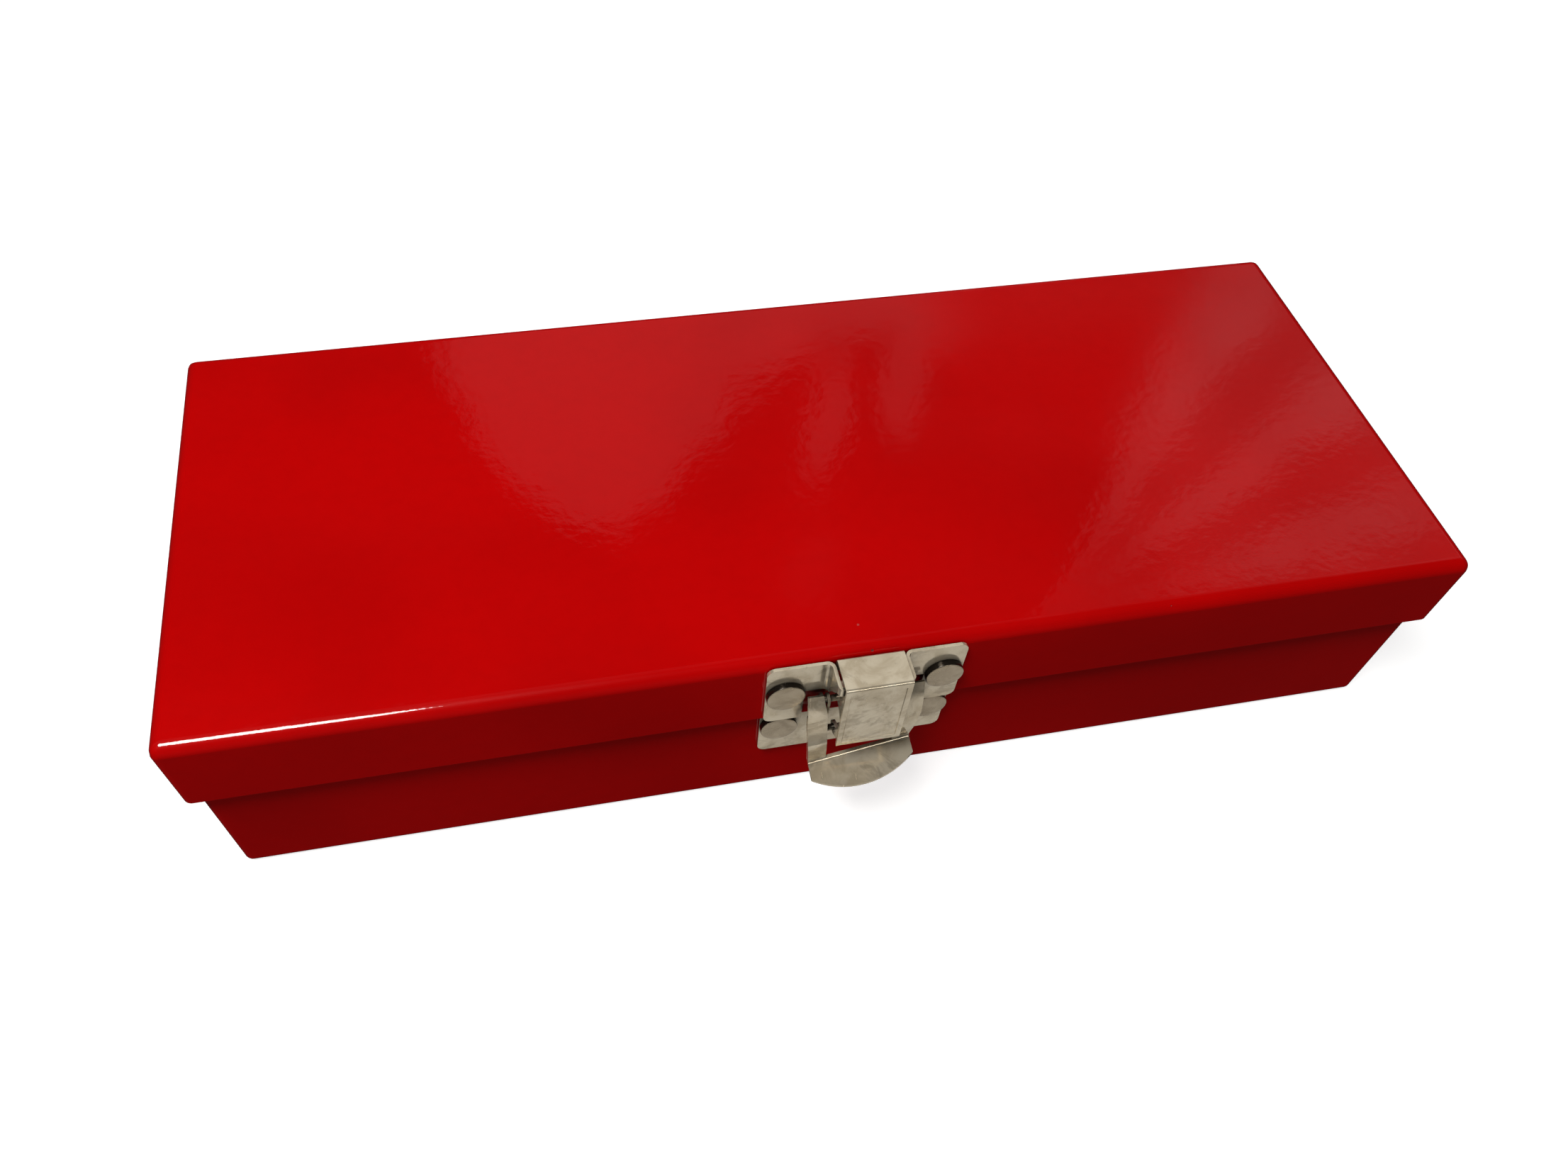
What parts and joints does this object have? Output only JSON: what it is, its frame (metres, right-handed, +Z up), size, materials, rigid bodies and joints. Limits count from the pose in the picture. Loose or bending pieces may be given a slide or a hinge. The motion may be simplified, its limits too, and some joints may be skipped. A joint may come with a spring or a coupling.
{
  "type": "toolbox",
  "caption": "Shallow painted steel toolbox with an overlapping hinged lid and a riveted nickel-plated draw latch on its front.",
  "frame": {"origin": "centre of the flat underside", "axes": "+X along the box, -Y towards the latch side, +Z up through the lid"},
  "size_m": [0.304, 0.1406, 0.058],
  "materials": {
    "red_paint": "glossy red enamel with a slight orange peel",
    "nickel_plate": "bright nickel plate, slightly warm and smudged",
    "spring_steel": "plain drawn wire"
  },
  "bodies": {
    "box": {"body_shell": "red_paint", "latch_base": "nickel_plate", "base_rivet_left": "nickel_plate", "base_rivet_right": "nickel_plate", "pivot_pin": "nickel_plate", "latch_spring": "spring_steel", "hinge_lower_leaf_left": "nickel_plate", "hinge_lower_leaf_right": "nickel_plate", "hinge_pin_left": "nickel_plate", "hinge_pin_right": "nickel_plate", "hinge_rivet_lower_left_inner": "nickel_plate", "hinge_rivet_lower_left_outer": "nickel_plate", "hinge_rivet_lower_right_inner": "nickel_plate", "hinge_rivet_lower_right_outer": "nickel_plate"},
    "lid": {"lid_shell": "red_paint", "strike_plate": "nickel_plate", "strike_rivet_left": "nickel_plate", "strike_rivet_right": "nickel_plate", "hinge_upper_leaf_left": "nickel_plate", "hinge_upper_leaf_right": "nickel_plate", "hinge_rivet_upper_left_inner": "nickel_plate", "hinge_rivet_upper_left_outer": "nickel_plate", "hinge_rivet_upper_right_inner": "nickel_plate", "hinge_rivet_upper_right_outer": "nickel_plate"},
    "handle": {"handle": "nickel_plate", "link_pin": "nickel_plate"},
    "link": {"draw_link": "nickel_plate"}
  },
  "joints": [
    {"name": "lid_hinge", "type": "hinge", "parent": "box", "child": "lid", "pos_m": [0, 0.0626, 0.035], "axis": [-1, 0, 0], "range_deg": [0, 110]},
    {"name": "handle_pivot", "type": "hinge", "parent": "box", "child": "handle", "pos_m": [0, -0.0626, 0.0449], "axis": [-1, 0, 0], "range_deg": [0, 90]},
    {"name": "link_pivot", "type": "hinge", "parent": "handle", "child": "link", "pos_m": [0, -0.0644, 0.035], "axis": [-1, 0, 0], "range_deg": [-90, 0]}
  ],
  "couplings": [
    {"joint": "link_pivot", "follows": "handle_pivot", "ratio": -1}
  ]
}
